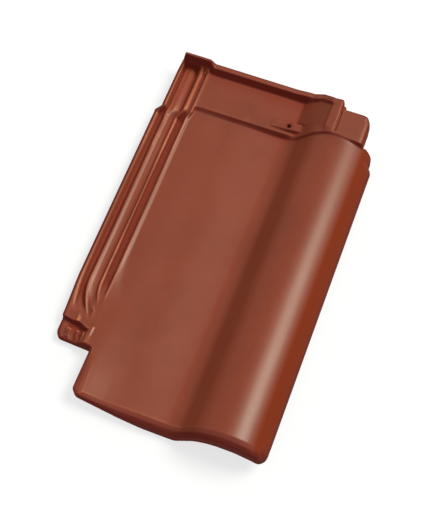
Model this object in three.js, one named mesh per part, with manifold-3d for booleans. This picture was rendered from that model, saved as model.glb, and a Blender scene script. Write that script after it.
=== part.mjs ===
// Interlocking clay roof tile with a flat pan and one roll, pressed in one piece.
// Millimetres. X runs across the tile, from the side lock to the roll. Y runs up the roof, from foot to head.
// Z is up. The origin is under the middle of the tile, on the surface that it lies on.
// Heights below are measured from the pan surface, and the last step lifts the tile onto its resting surface.

import * as THREE from 'three';
import { mergeVertices } from 'three/addons/utils/BufferGeometryUtils.js';
import Module from 'manifold-3d';

// Driving dimensions: the whole tile
const WIDTH = 286;
const LENGTH = 471;
const THICKNESS = 12;              // of the pan and of the roll, measured square to the surface
const APRON_DEPTH = 24;            // from the pan surface down to the foot of the front wall, where the tile rests
const HEAD_LAP = 67;               // how much of the head the next tile up covers
const FOOT_WALL = 15;              // thickness of the front wall, along Y
const APRON_LIFT = 14;             // the front wall is this much shorter at its left corner
const APRON_LIFT_REACH = 92;       // and comes down to its full depth over this width
const APRON_LIFT_FROM = 12;
const FOOT_BOW = 5.5;              // the foot edge draws back by this much towards that corner

// The roll: a round crest, a straight flank and a hollow valley on the pan side, a quarter ellipse on the other
const CREST_INSET = 46;            // from the right edge to the crest
const ROLL_RISE = 42;
const ROLL_RADIUS = 52;
const FLANK_ANGLE = THREE.MathUtils.degToRad(50);
const VALLEY_RADIUS = 28;
const VALLEY_DEPTH = 2;
const EDGE_HEIGHT = 2.5;           // of the right edge's lower rim over the pan
const APRON_UNDER_ROLL = 27;       // height of the front wall where it follows the roll
const APRON_FLANK_SHIFT = 4;       // the front wall's arch is this much wider on the flank
const APRON_RIGHT = -1;            // height of the front wall's lower edge at its right corner
const ROLL_END = 3;                // the roll runs on past the step by this much over its flank
const ROLL_END_RIGHT = 4;          // and by this much beside the plate
const ROLL_END_INSET = 4;          // its right edge is drawn in near that end
const ROLL_END_INSET_LENGTH = 17;
const ROLL_END_INSET_REACH = 14;   // and the surface follows over this much beside the edge

// The side lock: ribs and channels that the neighbour's edge covers
const LOCK_WIDTH = 48;
const LOCK_DEPTH = 19.5;           // from the pan surface down to the lock's underside
const RIDGE_HEIGHT = 2.7;
const THIN_RIB_HEIGHT = -4.5;
const WIDE_CHANNEL = -10;
const THIN_RIB_END = 0.65;         // the thin rib's right side, as a share of the lock's width
const BORDER_DISH = 1;             // how much the pan lifts towards the ridge
const BORDER_REACH = 45;
const CORNER_DISH = 2.6;           // how much its foot corner lifts as well
const CORNER_REACH = 85;
const TAIL_LENGTH = 34;            // of the plain end of the lock, from its foot edge
const TAIL_HEIGHT = -4;
const SWEEP_LENGTH = 52;           // over which the ribs turn towards the pan and die out
const PAN_EDGE_SHIFT = 3;          // the pan's left edge stands in by this much below the lock
const TAIL_BLEND = 0.25;           // from this share of the lock's width the tail rises to the pan
const SHELF_LENGTH = 24;
const SHELF_HEIGHT = -11.5;
const SHELF_BLEND = [0.6, 0.9];    // the shelf rises to the tail between these shares of the lock's width
const SHELF_SLANT = 8;             // the step up from the shelf slants towards the foot
const NOTCH_SLANT = 2.5;           // and so does the lock's foot edge
const LEFT_REACH = 0.33;           // the left edge's insets die out at this share of the lock's width
const SHELF_INSET = 3.2;           // how far the left edge stands in at the shelf, along the tail and beside the head
const TAIL_INSET = 3;
const HEAD_INSET = 6.8;
const HEAD_SHIFT = [-18, -2];      // the ribs shift between the body and the head over this stretch before the step
const INSET_SHIFT = [-12, -6];     // and the left edge over this one

// The head: a raised panel, the upstand along the top edge, and the lug at its corner
const PANEL_RISE = 5;
const STEP_RUN = 2;
const PANEL_STEP = [0.8, 4.8];     // where the step up to the panel starts and ends, past the step line
const NECK_FOOT = 62;              // from the crest to the foot of the neck's flank
const NECK_EDGE = 26.5;            // from the crest to the top of that flank
const NECK_RIGHT = 13;             // from the crest to the neck's right side
const NECK_HEIGHT = 43;
const NECK_EDGE_HEIGHT = 38;
const NECK_EDGE_RUN = 3;
const BAND_RISE = 3;               // behind the step the neck follows the roll, this much above it
const BAND_END = [27, 11];         // how far, at the foot and at the top of the flank
const BAND_RUN = [3, 8];           // and over what length it falls to the flat flank
const PLATE_HEIGHT = 43.5;
const PLATE_INSET = 18;            // from the right edge to the side of the corner plate
const PLATE_LENGTH = 42;
const PLATE_ROUND = 7;
const PLATE_GROOVE = 3;            // depth of the groove between the neck and the plate, and where it starts
const GROOVE_START = 3;
const UPSTAND_HEIGHT = 16.5;
const UPSTAND_WIDTH = 7.8;
const UPSTAND_RUN = 3.2;           // the slope on the upstand's foot side
const NECK_LIP = 18.4;             // the least height of the upstand beside the neck
const NECK_UPSTAND = 3;            // the upstand's height over the neck's flank, and over its top
const NECK_TOP_UPSTAND = 1;
const HEAD_RECEDE = 12.5;          // the head edge steps back by this much behind the neck
const LUG_HEIGHT = 23;
const LUG_END = 45;
const LUG_RUN = 8;                 // the slope from the lug down to the upstand
const LUG_WIDTH = 4.2;             // of the lug's top, along Y
const LUG_LEAN = 6;                // its left side leans in by this much
const LUG_FACE_RUN = 0.8;
const LEDGE_HEIGHT = 9.5;          // of the ledge across the lug's face
const LEDGE_WIDTH = 1;
const LEDGE_RISE = 8;              // length over which the ribs rise to the ledge
const KNOB = { left: -0.5, width: 6.5, length: 8, height: 37.5, root: 10 };

// Nail boss and hole
const NAIL_DIAMETER = 5;
const NAIL_UP = 16;                // from the step to the hole
const NAIL_PAST_VALLEY = 4.4;      // from the valley's middle line to the hole, towards the roll
const BOSS = { left: 24, right: 21, length: 15, low: 1, high: 6, draft: 2.4 };

// Underside: hanging nibs, stiffening ribs, and the cover edge that closes on the neighbour's lock
const ROOT = 2.5;                  // how far a form that is added reaches into the tile
const NIB = { width: 34, length: 16, head: 44, draft: 2.5, gap: 26 };
const STIFFENER = { width: 11, depth: 5, draft: 2, pitch: 46 };
const COVER_OVER_PAN = 10;         // how far the roll's edge reaches onto the neighbour's pan
const COVER_RIB = { width: 6.5, play: 5.5, draft: 1 };
const COVER_GROOVE_HEIGHT = 10;
const COVER_EDGE_HEIGHT = 15;
const COVER_END_GAP = 5;           // the cover edge stops short of the notch and of the step by this much

// Drainage ribs on the shelf, and the fin above it. They are placed across the lock by shares of its width, and along
// it from its foot edge. Their tops run from one height to the other, over the shelf.
const SHELF_RIBS = [
  { across: [0.27, 0.42], along: [2, 15], tops: [1, 4] },
  { across: [0.52, 0.63], along: [2, 15], tops: [1.5, 5] },
  { across: [0.71, 0.79], along: [-1, 14], tops: [5.5, 8] },
  { across: [0.9, 0.97], along: [-2, 22], tops: [12.5, 13.5] },
];
const WEDGE_DRAFT = 1;
const FIN = { across: [0.44, 0.56], along: [21, 36], tops: [12.5, 8] };

// Rounded edges and corners
const FOOT_ROUND = 9;
const FOOT_ROUND_IN_VALLEY = 5.5;
const FOOT_ROUND_AT_CORNER = 3;
const PAN_EDGE_ROUND = 3.5;
const LOCK_EDGE_ROUND = 2.2;
const HEAD_EDGE_ROUND = 2.4;
const LEAST_EDGE = 1.5;            // height that is left where two rounded edges meet
const FOOT_LEFT_CORNER = 9;
const FOOT_RIGHT_CORNER = 12;
const LOCK_CORNER = 9;
const PLATE_CORNER = 12;
const HEAD_CORNER = 3;
const ROLL_END_CORNER = 3;

// How fine the mesh is
const MESH_GAP = 0.2;              // the least distance between two lines of the mesh
const FLATNESS = 0.015;            // a point this close to a flat face is left out

// Creases across the side lock, from left to right. Each has a place and a height on the body and beside the head
// panel. Towards the foot it turns to another place, over a stretch and along a curve of some power, and it dies out
// over another stretch. Places are shares of the lock's width, and the stretches are counted from the tail.
const LOCK_CREASES = [
  { body: [0, -5], head: [0, 0.5], foot: 0, turn: [52, 0, 1], fade: [38, 4] },
  { body: [0.06, -4.4], head: [0.06, 1], foot: 0.05, turn: [52, 0, 1], fade: [38, 4] },
  { body: [0.105, -5], head: [0.18, 1], foot: 0.16, turn: [52, 0, 1], fade: [38, 4] },
  { body: [0.14, -7.5], head: [0.2, -1.5], foot: 0.22, turn: [52, 0, 1.5], fade: [38, 4] },
  { body: [0.175, -11.5], head: [0.215, -6.5], foot: 0.28, turn: [52, 0, 2], fade: [32, 2] },
  { body: [0.275, -11.5], head: [0.245, -6.5], foot: 0.64, turn: [52, 0, 2.5], fade: [26, -2] },
  { body: [0.31, -4.4], head: [0.28, -4.6], foot: 0.7, turn: [52, 0, 2.5], fade: [12, -2] },
  { body: [0.34, -3], head: [0.36, -3], foot: 0.74, turn: [52, 0, 2.5], fade: [12, -2] },
  { body: [0.42, -4.2], head: [0.5, -3], foot: 0.78, turn: [52, 0, 2.5], fade: [12, -2] },
  { body: [0.52, -7.6], head: [0.58, -4.5], foot: 0.79, turn: [52, 10, 2.2], fade: [38, 12] },
  { body: [0.56, -10], head: [0.64, -7], foot: 0.808, turn: [50, 18, 2.2], fade: [44, 18] },
  { body: [0.605, THIN_RIB_HEIGHT], head: [0.755, 2], foot: 0.83, turn: [50, 18, 2.2], fade: [54, 24] },
  { body: [THIN_RIB_END, THIN_RIB_HEIGHT], head: [0.825, 2], foot: 0.848, turn: [50, 18, 2.2], fade: [54, 24] },
  { body: [0.685, WIDE_CHANNEL], head: [0.85, 0], foot: 0.862, turn: [50, 18, 2.2], fade: [56, 26] },
  { body: [0.85, WIDE_CHANNEL], head: [0.93, 0.6], foot: 0.895, turn: [36, 0, 1], fade: [56, 26] },
  { body: [0.893, RIDGE_HEIGHT - 0.8], head: [0.96, PANEL_RISE], foot: 0.91, turn: [36, 0, 1], fade: [60, 8] },
  { body: [0.908, RIDGE_HEIGHT], head: [0.975, PANEL_RISE + 0.7], foot: 0.93, turn: [36, 0, 1], fade: [60, 8] },
  { body: [0.93, RIDGE_HEIGHT], head: [0.995, PANEL_RISE + 0.7], foot: 0.95, turn: [36, 0, 1], fade: [60, 8] },
  { body: [1, BORDER_DISH], head: [1.035, BORDER_DISH], foot: 1.2, turn: [75, 43, 2], fade: [66, 38] },
  { body: [1.25, BORDER_DISH], head: [1.25, BORDER_DISH], foot: 1.25, turn: [75, 43, 2], fade: [66, 38] },
];

// Lines that follow from the dimensions
const crestX = WIDTH - CREST_INSET;
const crestCentre = ROLL_RISE - ROLL_RADIUS;
const valleyCentre = VALLEY_RADIUS - VALLEY_DEPTH;
const flankDrop = crestCentre + ROLL_RADIUS * Math.cos(FLANK_ANGLE)
  - (valleyCentre - VALLEY_RADIUS * Math.cos(FLANK_ANGLE));
const valleyX = crestX - (ROLL_RADIUS + VALLEY_RADIUS) * Math.sin(FLANK_ANGLE) - flankDrop / Math.tan(FLANK_ANGLE);
const notchY = HEAD_LAP - 1;
const stepY = LENGTH - HEAD_LAP;
const shelfEndY = notchY + SHELF_LENGTH;
const tailY = notchY + TAIL_LENGTH;
const sweepY = tailY + SWEEP_LENGTH;
const insetY = stepY + ROLL_END - ROLL_END_INSET_LENGTH - STEP_RUN;
const upstandY = LENGTH - UPSTAND_WIDTH - UPSTAND_RUN;
const lugY = LENGTH - LUG_WIDTH - LUG_FACE_RUN;
const ledgeY = lugY - LEDGE_WIDTH;
const neckFootX = crestX - NECK_FOOT;
const neckEdgeX = crestX - NECK_EDGE;
const neckX = crestX - NECK_RIGHT;
const plateX = WIDTH - PLATE_INSET;
const plateY = stepY + PLATE_LENGTH;
const nibY = LENGTH - NIB.head;
const nailX = valleyX + NAIL_PAST_VALLEY;
const nailY = stepY + NAIL_UP;
const panX = LOCK_WIDTH * LOCK_CREASES.at(-1).body[0];

const clamp = THREE.MathUtils.clamp;
const smooth = (x, from, to) => THREE.MathUtils.smoothstep(x, from, to);
const ramp = (x, from, to) => clamp((x - from) / (to - from), 0, 1);
const mix = THREE.MathUtils.lerp;

// Section across the pan and the roll, moved inwards by an offset square to the surface.
function rollSection(x, offset = 0) {
  const crest = ROLL_RADIUS - offset;
  const valley = VALLEY_RADIUS + offset;
  const flankTop = crestX - crest * Math.sin(FLANK_ANGLE);
  const flankFoot = valleyX + valley * Math.sin(FLANK_ANGLE);
  if (x >= crestX) {
    const reach = CREST_INSET - offset;
    const rise = ROLL_RISE - EDGE_HEIGHT - offset;
    const share = clamp((x - crestX) / reach, 0, 1);
    return EDGE_HEIGHT + rise * Math.sqrt(1 - share * share);
  }
  if (x >= flankTop) return crestCentre + Math.sqrt(crest ** 2 - (x - crestX) ** 2);
  if (x >= flankFoot) {
    const top = crestCentre + crest * Math.cos(FLANK_ANGLE);
    return top - (flankTop - x) * Math.tan(FLANK_ANGLE);
  }
  if (x >= valleyX) return valleyCentre - Math.sqrt(valley ** 2 - (x - valleyX) ** 2);
  return -VALLEY_DEPTH * smooth(x, valleyX - 2 * VALLEY_RADIUS, valleyX) - offset;
}

// Straight line through pairs of place and height.
function polyline(x, points) {
  const next = points.findIndex(([at]) => at >= x);
  if (next < 0) return points.at(-1)[1];
  if (next === 0) return points[0][1];
  const [x0, z0] = points[next - 1];
  const [x1, z1] = points[next];
  return mix(z0, z1, (x - x0) / (x1 - x0));
}

// A value of the lock's creases, such as a height, at a place across the lock.
function acrossLock(x, value) {
  return polyline(x, LOCK_CREASES.map((crease) => [crease.body[0] * LOCK_WIDTH, value(crease)]));
}

const besideHead = (y) => smooth(y - stepY, ...HEAD_SHIFT);

// Where the ribs' creases run: straight along the body, stepped beside the head, and turned to the pan at the foot.
function lockPlace(x, y) {
  return acrossLock(x, ({ body, head, foot, turn: [start, end, power] }) => {
    const along = 1 - ramp(y - tailY, end, start);
    const share = mix(mix(body[0], foot, along ** power), head[0], besideHead(y));
    return share * LOCK_WIDTH;
  });
}

// Height of the ribs, as they die out into the plain tail of the lock.
function ribHeight(x, y, plain = 0) {
  return acrossLock(x, ({ body, head, fade: [start, end] }) => {
    const height = mix(body[1], head[1], besideHead(y));
    return mix(plain, height, smooth(y - tailY, end, start));
  });
}

// Top of the pan and the roll, with the slight lift of the pan's border and foot corner.
function panTop(x, y) {
  const border = BORDER_DISH * (1 - smooth(x, panX, panX + BORDER_REACH));
  const corner = CORNER_DISH * (1 - ramp(x, LOCK_WIDTH, LOCK_WIDTH + BORDER_REACH)) ** 2
    * (1 - ramp(y, 0, CORNER_REACH)) ** 2;
  return rollSection(x) + border + corner;
}

// The plain end of the lock, with the shelf at its foot.
function tailTop(x, y) {
  const share = x / LOCK_WIDTH;
  const tail = mix(TAIL_HEIGHT, panTop(x, y), smooth(share, TAIL_BLEND, 1));
  const shelf = mix(SHELF_HEIGHT, tail, smooth(share, ...SHELF_BLEND));
  return mix(shelf, tail, ramp(y, shelfEndY, shelfEndY + STEP_RUN));
}

// Top between the foot and the step.
function bodyTop(x, y, placeX) {
  if (x > panX) return panTop(x, y);
  return ribHeight(x, y, placeX > LOCK_WIDTH ? panTop(placeX, y) : tailTop(placeX, y));
}

// The neck that carries the roll on beside the head panel: a flat flank and a narrow flat top. Behind the step there
// is a band that still follows the roll.
function neckTop(x, y) {
  const flat = polyline(x, [
    [neckFootX, PANEL_RISE],
    [neckEdgeX, NECK_EDGE_HEIGHT],
    [neckEdgeX + NECK_EDGE_RUN, NECK_HEIGHT - 1],
    [neckX - STEP_RUN, NECK_HEIGHT],
  ]);
  const up = ramp(x, neckFootX, neckEdgeX);
  const band = Math.max(PANEL_RISE, rollSection(x) + BAND_RISE);
  const end = stepY + mix(...BAND_END, up);
  return mix(band, flat, ramp(y, end - mix(...BAND_RUN, up), end));
}

// The corner plate with its rounded side, and the groove between it and the neck.
function plateTop(x, y) {
  const groove = 1 - ramp(Math.abs(x - neckX - STEP_RUN), 0, STEP_RUN);
  const level = mix(NECK_HEIGHT, PLATE_HEIGHT, ramp(x, neckX, neckX + 2 * STEP_RUN));
  const start = smooth(y, stepY + GROOVE_START, stepY + 2 * GROOVE_START);
  return level - PLATE_GROOVE * groove * start - roundDrop(plateX - x, PLATE_ROUND);
}

// Height of the lock and the panel under the lug, with the ledge that the ribs rise to.
function underLug(x, y, lug) {
  if (x >= LOCK_WIDTH) return neckTop(x, y);
  const ribs = ribHeight(x, y);
  const rise = ribs > 0 ? LEDGE_RISE : STEP_RUN / 2;
  return mix(ribs, Math.max(ribs, LEDGE_HEIGHT), lug * ramp(y, ledgeY - rise, ledgeY));
}

// Top of the head, between the step and the head edge.
function headTop(x, y) {
  if (x >= plateX) return rollSection(x);
  if (x > neckX) return plateTop(x, y);
  const lug = 1 - ramp(x, LUG_END, LUG_END + LUG_RUN);
  const level = underLug(x, y, lug);
  const overNeck = mix(NECK_UPSTAND, NECK_TOP_UPSTAND, ramp(x, neckEdgeX, neckEdgeX + NECK_EDGE_RUN));
  const lip = ramp(x, valleyX, neckFootX + NECK_EDGE_RUN) * (NECK_LIP - UPSTAND_HEIGHT);
  const wall = Math.max(mix(UPSTAND_HEIGHT, LUG_HEIGHT, lug) + lip, level + overNeck);
  const from = mix(upstandY, lugY, lug);
  const to = mix(upstandY + UPSTAND_RUN, lugY + LUG_FACE_RUN, lug);
  return mix(level, wall, ramp(y, from, to));
}

// How far a rounded edge falls away at a distance from the edge.
function roundDrop(distance, radius) {
  if (distance >= radius) return 0;
  return radius - Math.sqrt(radius ** 2 - (radius - Math.max(distance, 0)) ** 2);
}

function footRound(x) {
  const valley = smooth(x, valleyX - BORDER_REACH, valleyX) * (1 - smooth(x, valleyX, neckEdgeX));
  const even = mix(FOOT_ROUND, FOOT_ROUND_IN_VALLEY, valley);
  return mix(FOOT_ROUND_AT_CORNER, even, ramp(x, LOCK_WIDTH, LOCK_WIDTH + BORDER_REACH));
}

function edgeDrop(x, y) {
  const drops = [roundDrop(x, LOCK_EDGE_ROUND)];
  if (x >= LOCK_WIDTH) drops.push(roundDrop(y, footRound(x)));
  if (x >= LOCK_WIDTH && y <= notchY) drops.push(roundDrop(x - LOCK_WIDTH, PAN_EDGE_ROUND));
  if (x <= LOCK_WIDTH) drops.push(roundDrop(y - notchY, LOCK_EDGE_ROUND));
  if (x <= neckX) drops.push(roundDrop(LENGTH - y, HEAD_EDGE_ROUND));
  if (x > neckX && y > stepY) drops.push(roundDrop(plateY - y, HEAD_EDGE_ROUND));
  return Math.max(...drops);
}

// The step from the body up to the head: a slope before the panel, and a steeper face under the neck.
function stepShare(x, y) {
  const underNeck = ramp(x, neckFootX, neckEdgeX);
  return ramp(y, stepY + mix(PANEL_STEP[0], 0, underNeck), stepY + mix(PANEL_STEP[1], STEP_RUN, underNeck));
}

function topHeight(x, y, placeX) {
  const level = mix(bodyTop(x, y, placeX), headTop(x, y), stepShare(x, y));
  return level - edgeDrop(x, y);
}

// Lower edge of the front wall: shorter at the left corner, arched under the roll.
function apronBottom(x) {
  const from = LOCK_WIDTH + APRON_LIFT_FROM;
  const lift = APRON_LIFT * (1 - smooth(x, from, from + APRON_LIFT_REACH));
  if (x < valleyX) return lift - APRON_DEPTH;
  const flank = x < crestX - APRON_FLANK_SHIFT ? x + APRON_FLANK_SHIFT : Math.max(x, crestX);
  return Math.max(rollSection(flank) - APRON_UNDER_ROLL, x < crestX ? -APRON_DEPTH : APRON_RIGHT);
}

// The underside: an even wall, the plain bottom of the lock, and the front wall with its arch under the roll.
function bottomHeight(x, y) {
  const pan = rollSection(x, THICKNESS);
  const shell = mix(-LOCK_DEPTH, pan, ramp(x, LOCK_WIDTH, panX));
  const inside = y < notchY && x <= panX ? pan : shell;
  const rim = Math.min(EDGE_HEIGHT, apronBottom(x));
  const wall = x > WIDTH - THICKNESS ? rim : apronBottom(x);
  return mix(wall, inside, ramp(y, FOOT_WALL, FOOT_WALL + STEP_RUN));
}

// Lines of the mesh across and along the tile. They follow the edges of the forms above.
function lines(...values) {
  const sorted = values.flat().sort((a, b) => a - b);
  return sorted.filter((value, i) => i === 0 || value - sorted[i - 1] > MESH_GAP);
}

function between(from, to, count) {
  return Array.from({ length: count }, (_, i) => mix(from, to, (i + 1) / (count + 1)));
}

function arcLines(centre, radius, fromAngle, toAngle, count) {
  return Array.from({ length: count + 1 }, (_, i) => centre + radius * Math.sin(mix(fromAngle, toAngle, i / count)));
}

// Distances from a rounded edge at which its quarter circle is cut into four.
function roundLines(edge, radius, inward) {
  return [0, 0.12, 0.35, 0.65, 1].map((share) => edge + inward * share * radius);
}

// Further lines between two of the lock's creases.
function lockLines([left, right], count) {
  return between(LOCK_CREASES[left].body[0] * LOCK_WIDTH, LOCK_CREASES[right].body[0] * LOCK_WIDTH, count);
}

const xLines = lines(
  roundLines(0, LOCK_EDGE_ROUND, 1),
  LOCK_CREASES.map(({ body }) => body[0] * LOCK_WIDTH),
  lockLines([4, 5], 3),
  lockLines([8, 9], 1),
  lockLines([13, 14], 2),
  lockLines([18, 19], 3),
  roundLines(LOCK_WIDTH, PAN_EDGE_ROUND, 1),
  LUG_END, LUG_END + LUG_RUN,
  between(panX, valleyX, 16),
  arcLines(valleyX, VALLEY_RADIUS, 0, FLANK_ANGLE, 9),
  arcLines(crestX, ROLL_RADIUS, -FLANK_ANGLE, 0, 16),
  arcLines(crestX, CREST_INSET, 0, Math.PI / 2, 16),
  neckFootX, neckEdgeX, neckEdgeX + NECK_EDGE_RUN, neckX - STEP_RUN, neckX,
  neckX + STEP_RUN, neckX + 2 * STEP_RUN,
  roundLines(plateX, PLATE_ROUND, -1),
  plateX + STEP_RUN,
  WIDTH - THICKNESS, WIDTH - THICKNESS + STEP_RUN / 2,
);

const yLines = lines(
  roundLines(0, FOOT_ROUND, 1), roundLines(0, FOOT_ROUND_IN_VALLEY, 1),
  FOOT_WALL, FOOT_WALL + STEP_RUN,
  between(FOOT_WALL, notchY, 6),
  roundLines(notchY, LOCK_EDGE_ROUND, 1), notchY + LOCK_CORNER / 2, notchY + LOCK_CORNER,
  shelfEndY, shelfEndY + STEP_RUN,
  between(shelfEndY + STEP_RUN, sweepY, 30), sweepY,
  between(sweepY, insetY, 4), insetY, insetY + STEP_RUN,
  between(stepY + HEAD_SHIFT[0], stepY + HEAD_SHIFT[1], 6), stepY + INSET_SHIFT[0], stepY + INSET_SHIFT[1],
  stepY, stepY + PANEL_STEP[0], stepY + STEP_RUN, stepY + PANEL_STEP[1],
  between(stepY + STEP_RUN, plateY - PLATE_CORNER, 12), plateY - PLATE_CORNER, plateY - PLATE_CORNER / 2,
  roundLines(plateY, HEAD_EDGE_ROUND, -1),
  ledgeY - LEDGE_RISE, ledgeY - STEP_RUN / 2, ledgeY, lugY, lugY + LUG_FACE_RUN,
  upstandY, upstandY + UPSTAND_RUN,
  roundLines(LENGTH, HEAD_EDGE_ROUND, -1),
);

// The outline in squares: the notch at the foot of the lock, the step back beside the neck, the plate's side.
function isClay(x, y) {
  if (x < LOCK_WIDTH && y < notchY) return false;
  if (x > neckX + STEP_RUN && y > plateY) return false;
  return !(x > plateX && y > stepY);
}

const corners = [
  { x: LOCK_WIDTH, y: 0, right: 1, up: 1, radius: FOOT_LEFT_CORNER },
  { x: WIDTH, y: 0, right: -1, up: 1, radius: FOOT_RIGHT_CORNER },
  { x: 0, y: notchY, right: 1, up: 1, radius: LOCK_CORNER },
  { x: 0, y: LENGTH, right: 1, up: -1, radius: HEAD_CORNER },
  { x: neckX + STEP_RUN, y: LENGTH, right: -1, up: -1, radius: HEAD_CORNER },
  { x: plateX, y: plateY, right: -1, up: -1, radius: PLATE_CORNER },
  { x: WIDTH, y: stepY, right: -1, up: -1, radius: ROLL_END_CORNER },
];

// Draws the square corner of the mesh into a round one.
function roundCorner(point, corner) {
  const p = corner.radius - (point.x - corner.x) * corner.right;
  const q = corner.radius - (point.y - corner.y) * corner.up;
  const inside = p > 0 && q > 0 && p <= corner.radius && q <= corner.radius;
  if (!inside) return;
  const shrink = Math.max(p, q) / Math.hypot(p, q);
  point.x = corner.x + (corner.radius - p * shrink) * corner.right;
  point.y = corner.y + (corner.radius - q * shrink) * corner.up;
}

// How far the lock's left edge stands in along the tile.
function leftInset(y) {
  const tail = mix(TAIL_INSET, 0, smooth(y, shelfEndY, sweepY));
  const foot = mix(SHELF_INSET, tail, ramp(y, shelfEndY, shelfEndY + STEP_RUN));
  return foot + HEAD_INSET * ramp(y - stepY, ...INSET_SHIFT);
}

// How far the lines along X slant or bow along the tile: back at the foot's left corner, down at the notch and at the
// shelf's step, up at the roll's end, and down behind the neck.
function alongShift(x, y) {
  const overLock = ramp(x, 0, LOCK_WIDTH) * (1 - ramp(x, LOCK_WIDTH, panX + BORDER_REACH));
  const corner = FOOT_BOW * (1 - ramp(x, LOCK_WIDTH, LOCK_WIDTH + APRON_LIFT_REACH)) ** 2 * (1 - ramp(y, 0, notchY));
  const notch = NOTCH_SLANT * overLock * ramp(y, FOOT_WALL, notchY) * (1 - ramp(y, notchY, notchY + LOCK_CORNER));
  const shelf = SHELF_SLANT * Math.min(overLock / SHELF_BLEND[0], 1)
    * ramp(y, notchY + LOCK_CORNER, shelfEndY) * (1 - ramp(y, shelfEndY + STEP_RUN, sweepY));
  const bow = ROLL_END * (smooth(x, neckFootX, neckX) - smooth(x, neckX, plateX))
    + ROLL_END_RIGHT * ramp(x, plateX, plateX + STEP_RUN);
  const roll = bow * ramp(y, stepY - BORDER_REACH, stepY) * (1 - ramp(y, stepY + STEP_RUN, plateY - PLATE_CORNER));
  const neck = ramp(x, (neckFootX + neckEdgeX) / 2, neckEdgeX + NECK_EDGE_RUN) * (x > neckX + STEP_RUN ? 0 : 1);
  return corner + roll - notch - shelf - HEAD_RECEDE * neck * ramp(y, plateY - PLATE_CORNER, upstandY);
}

// Where the lines along Y run: they follow the ribs' course and the insets of the left and the right edge.
function acrossPlace(x, y, top) {
  const ribs = x < panX ? (lockPlace(x, y) - x) * ramp(y, notchY + LOCK_CORNER, tailY) : 0;
  const risen = mix(ramp(y, ledgeY - LEDGE_RISE, ledgeY), ramp(y, lugY, lugY + LUG_FACE_RUN), 0.5);
  const lean = top ? LUG_LEAN * risen : 0;
  const left = (leftInset(y) + lean) * (1 - ramp(x + ribs, 0, LEFT_REACH * LOCK_WIDTH));
  const belowLock = 1 - ramp(y, notchY, tailY);
  const notch = PAN_EDGE_SHIFT * belowLock * ramp(x, LOCK_WIDTH / 2, LOCK_WIDTH) * (1 - ramp(x, LOCK_WIDTH, valleyX));
  const right = ROLL_END_INSET * ramp(x, WIDTH - ROLL_END_INSET_REACH, WIDTH)
    * ramp(y, insetY, insetY + STEP_RUN) * (1 - ramp(y, stepY + STEP_RUN, plateY - PLATE_CORNER));
  return x + ribs + left + notch - right;
}

// Moves a point of the square mesh to where it lies on the tile.
function placed(x, y, top) {
  const point = { x: acrossPlace(x, y, top), y: y + alongShift(x, y) };
  const round = { x, y };
  corners.forEach((corner) => roundCorner(round, corner));
  return { x: point.x + round.x - x, y: point.y + round.y - y };
}

// Builds the closed shell over the mesh lines: top, underside, and a wall wherever clay meets no clay.
function tileShell() {
  const positions = [];
  const numbers = new Map();
  const lift = APRON_DEPTH;
  const vertex = (i, j, top) => {
    const key = `${i},${j},${top}`;
    if (!numbers.has(key)) {
      const { x, y } = placed(xLines[i], yLines[j], top);
      const bottom = bottomHeight(xLines[i], yLines[j]);
      const z = top ? Math.max(topHeight(xLines[i], yLines[j], x), bottom + LEAST_EDGE) : bottom;
      numbers.set(key, positions.length / 3);
      positions.push(x - WIDTH / 2, y - LENGTH / 2, z + lift);
    }
    return numbers.get(key);
  };
  const faces = [];
  const height = (number) => positions[3 * number + 2];
  const quad = (a, b, c, d) => {
    const across = Math.abs(height(a) - height(c)) > Math.abs(height(b) - height(d));
    faces.push(...(across ? [a, b, d, b, c, d] : [a, b, c, a, c, d]));
  };
  const filled = (i, j) => {
    if (i < 0 || j < 0 || i >= xLines.length - 1 || j >= yLines.length - 1) return false;
    return isClay((xLines[i] + xLines[i + 1]) / 2, (yLines[j] + yLines[j + 1]) / 2);
  };
  for (let i = 0; i < xLines.length - 1; i += 1) {
    for (let j = 0; j < yLines.length - 1; j += 1) {
      if (!filled(i, j)) continue;
      quad(vertex(i, j, true), vertex(i + 1, j, true), vertex(i + 1, j + 1, true), vertex(i, j + 1, true));
      quad(vertex(i, j, false), vertex(i, j + 1, false), vertex(i + 1, j + 1, false), vertex(i + 1, j, false));
      const wall = (i0, j0, i1, j1) => quad(
        vertex(i0, j0, false), vertex(i1, j1, false), vertex(i1, j1, true), vertex(i0, j0, true),
      );
      if (!filled(i, j - 1)) wall(i, j, i + 1, j);
      if (!filled(i + 1, j)) wall(i + 1, j, i + 1, j + 1);
      if (!filled(i, j + 1)) wall(i + 1, j + 1, i, j + 1);
      if (!filled(i - 1, j)) wall(i, j + 1, i, j);
    }
  }
  const geometry = new THREE.BufferGeometry();
  geometry.setAttribute('position', new THREE.Float32BufferAttribute(positions, 3));
  geometry.setIndex(faces);
  return geometry;
}

const wasm = await Module();
wasm.setup();

function solid(geometry) {
  const plain = geometry.clone();
  plain.deleteAttribute('normal');
  plain.deleteAttribute('uv');
  const merged = mergeVertices(plain, 1e-4);
  return new wasm.Manifold(new wasm.Mesh({
    numProp: 3,
    vertProperties: new Float32Array(merged.attributes.position.array),
    triVerts: new Uint32Array(merged.index.array),
  }));
}

function geometryOf(manifold) {
  const mesh = manifold.getMesh();
  const geometry = new THREE.BufferGeometry();
  geometry.setAttribute('position', new THREE.BufferAttribute(mesh.vertProperties, 3));
  geometry.setIndex(new THREE.BufferAttribute(mesh.triVerts, 1));
  geometry.computeVertexNormals();
  return geometry;
}

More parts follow.
